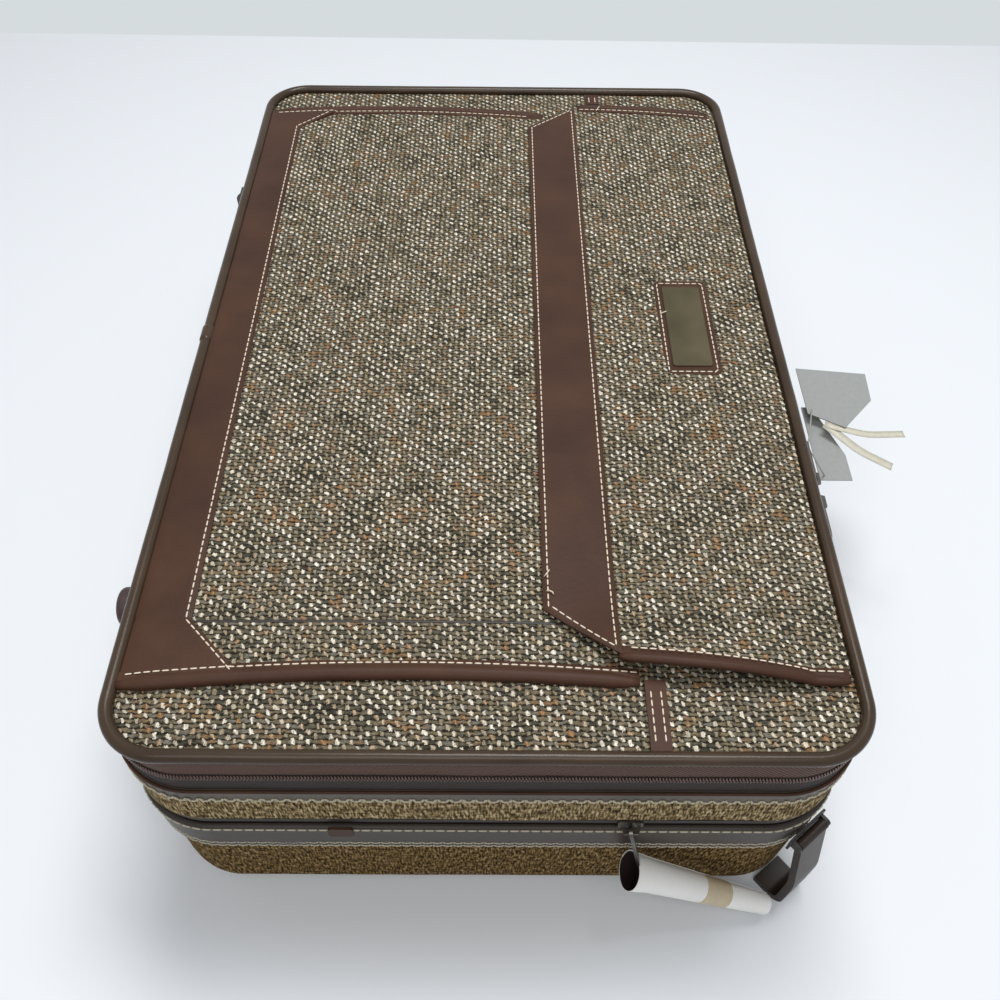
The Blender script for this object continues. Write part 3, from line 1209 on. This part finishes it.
def roll_form(name, begin, finish, turn_from, turn_to, grow, material, flare=0.0):
    """Paper rolled a little more than once round, narrower to its far end."""
    steps, rounds = 14, 44
    outer_points, inner_points = [], []
    for i in range(steps + 1):
        s = begin + (finish - begin) * i / steps
        for k in range(rounds + 1):
            share = k / rounds
            turn = turn_from + (turn_to - turn_from) * share
            r = 11.2 * MM - 4.0 * MM * s / ROLL_LENGTH + grow - 0.5 * MM * share
            r += flare * max(0.0, 1 - s / (14 * MM)) * math.cos(turn * 2)
            way = roll_side * math.cos(turn) + roll_up * math.sin(turn)
            spot = roll_start + roll_way * s
            outer_points.append(spot + way * r)
            inner_points.append(spot + way * (r - 0.35 * MM))
    count = len(outer_points)
    faces = []
    wide = rounds + 1
    for i in range(steps):
        for k in range(rounds):
            a, b, c, d = i * wide + k, (i + 1) * wide + k, (i + 1) * wide + k + 1, i * wide + k + 1
            faces += [(a, b, c, d), (count + d, count + c, count + b, count + a)]
    rim = [i * wide for i in range(steps)] + [steps * wide + k for k in range(rounds)]
    rim += [(steps - i) * wide + rounds for i in range(steps)] + [rounds - k for k in range(rounds)]
    for a, b in zip(rim, rim[1:] + rim[:1]):
        faces.append((b, a, count + a, count + b))
    piece = mesh_piece(name, outer_points + inner_points, faces, material, "expander_pull")
    if flare:
        piece.data.materials.append(materials["shaded_row"])
        for poly in piece.data.polygons:
            poly.material_index = int(all(v >= count for v in poly.vertices))
    piece.data.set_sharp_from_angle(angle=math.radians(50))
    return piece


paper = roll_form("paper_roll", 0.0, ROLL_LENGTH, -0.6, 2 * math.pi + 0.5, 0.0, "paper", 1.4 * MM)
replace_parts(paper, "pull_sleeve")
paper_tape = roll_form("paper_roll_tape", 58 * MM, 80 * MM, 0.3, 2 * math.pi + 0.4, 0.3 * MM, "sticky_tape")

tag_low, tag_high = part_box("swing_tags")


def ribbon(name, points, width, material):
    """A thin flat strip along a path, with its width across the view."""
    path = np.array(points, float)
    at = np.linspace(0, 1, 16)
    share = np.linspace(0, 1, len(path))
    line = np.column_stack([np.interp(at, share, path[:, k]) for k in range(3)])
    for _ in range(3):
        line[1:-1] = (line[:-2] + line[1:-1] * 2 + line[2:]) / 4
    ways = np.gradient(line, axis=0)
    sides = np.column_stack([-ways[:, 1], ways[:, 0], np.zeros(len(ways))])
    sides /= np.linalg.norm(sides, axis=1)[:, None]
    loops = [line + sides * width / 2, line - sides * width / 2]
    loops += [loops[1] - [0, 0, 0.3 * MM], loops[0] - [0, 0, 0.3 * MM]]
    count = len(line)
    faces = [(i + n * count, i + 1 + n * count, i + 1 + m * count, i + m * count)
             for i in range(count - 1) for n, m in ((0, 1), (1, 2), (2, 3), (3, 0))]
    faces += [(0, count, 2 * count, 3 * count)[::-1], (count - 1, 2 * count - 1, 3 * count - 1, 4 * count - 1)]
    return mesh_piece(name, np.vstack(loops), faces, material, "lid_pull_far")


tag_z = tag_high.z - 37 * MM
ribbon_start = Vector((tag_low.x + 34 * MM, -0.032, tag_z - 1 * MM))
for name, tip, width in (("ribbon_long", (0.060, -0.006, -0.004), 6.5 * MM),
                         ("ribbon_short", (0.046, -0.034, -0.010), 7.5 * MM)):
    middle = ribbon_start + Vector(tip) * 0.5 + Vector((0, -0.006, 0))
    ribbon(name, [ribbon_start, middle, ribbon_start + Vector(tip)], width, "ribbon")
print("paper roll", round(ROLL_LENGTH, 3))

# %% [markdown]
# A few thread ends stand out of the seams on the flap, each some millimetres
# long. They are too small to be parts of the solid model.

# %% Thread ends
FIRST_Y, SECOND_Y, PATCH_Y = -0.221, -0.231, 0.012
thread_ends = ((fx0 + 1 * MM, FIRST_Y, flap_leather_z(fx0 + 1 * MM, FIRST_Y), 3, 4),
               (fx0 + 2 * MM, SECOND_Y, flap_leather_z(fx0 + 2 * MM, SECOND_Y), 4, -3),
               (qx0 + 2 * MM, PATCH_Y, PATCH_TOP, 5, 2),
               (fx0 + 62 * MM, fy1 - 6 * MM, FLAP_HIGH + 2 * MM, 3, 6))
for k, (x, y, z, dx, dy) in enumerate(thread_ends):
    bend = [(x, y, z), (x + dx * 0.4 * MM, y + dy * 0.2 * MM, z + 1.6 * MM),
            (x + dx * 0.9 * MM, y + dy * 0.7 * MM, z + 1.9 * MM), (x + dx * MM, y + dy * MM, z + 1.2 * MM)]
    tube(f"thread_end_{k}", bend, 0.4 * MM, "thread", "flap", sides=6, taper=False)

# %% [markdown]
# ## The room round it
# A white floor that ends a little beyond the far end, with the room's pale grey
# behind it, broad soft light from above, and the camera high over the near end.
# The camera's place and directions were fitted to the outline of the lid.

# %% Floor, light and camera
new_material("floor", (0.86, 0.89, 0.92), 0.9)
FLOOR_HALF, FLOOR_NEAR, FLOOR_LEFT, FLOOR_RIGHT = 3, -2.5, 0.889, 0.841
floor_corners = [(-FLOOR_HALF, FLOOR_NEAR, 0), (FLOOR_HALF, FLOOR_NEAR, 0),
                 (FLOOR_HALF, FLOOR_RIGHT, 0), (-FLOOR_HALF, FLOOR_LEFT, 0)]
floor = mesh_piece("floor", floor_corners, [(0, 1, 2, 3)], "floor", None, smooth=False)


def area_light(name, place, aim, size, power, color=(1, 1, 1)):
    lamp = bpy.data.lights.new(name, "AREA")
    lamp.shape = "RECTANGLE"
    lamp.size, lamp.size_y = size
    lamp.energy = power
    lamp.color = color
    made = bpy.data.objects.new(name, lamp)
    made.location = place
    made.rotation_euler = (Vector(aim) - Vector(place)).to_track_quat("-Z", "Y").to_euler()
    bpy.context.scene.collection.objects.link(made)
    return made


area_light("window", (0.2, 0.3, 2.2), (0.0, 0.0, 0.1), (1.2, 0.6), 33, (0.98, 0.99, 1.0))
area_light("ceiling", (-0.1, -1.3, 2.0), (0, -0.35, 0.0), (1.6, 1.0), 15)
world = bpy.data.worlds.new("room")
world.use_nodes = True
air = world.node_tree
seen = air.nodes.new("ShaderNodeLightPath")
mirrored = math_node(air, "MAXIMUM", seen.outputs["Is Glossy Ray"], seen.outputs["Is Transmission Ray"])
looked_at = math_node(air, "MAXIMUM", seen.outputs["Is Camera Ray"], mirrored)
shade = mix_color(air, looked_at, (0.28, 0.285, 0.3, 1), (0.67, 0.715, 0.73, 1))
air.links.new(shade, air.nodes["Background"].inputs[0])
bpy.context.scene.world = world

camera_data = bpy.data.cameras.new("camera")
camera_data.lens = 35.43
camera_data.sensor_width = 36
camera_data.clip_start = 0.01
camera = bpy.data.objects.new("camera", camera_data)
bpy.context.scene.collection.objects.link(camera)
right = Vector((0.99996, 0.00125, 0.00902))
up = Vector((-0.00663, 0.78068, 0.62489))
back = Vector((-0.00627, -0.62493, 0.78066))
camera.matrix_world = Matrix(((right.x, up.x, back.x, 0.0024), (right.y, up.y, back.y, -0.5449),
                              (right.z, up.z, back.z, 0.6951), (0, 0, 0, 1)))
bpy.context.scene.camera = camera
bpy.context.scene.view_settings.view_transform = "Standard"
bpy.context.view_layer.update()
print("camera at", tuple(round(v, 3) for v in camera.location))
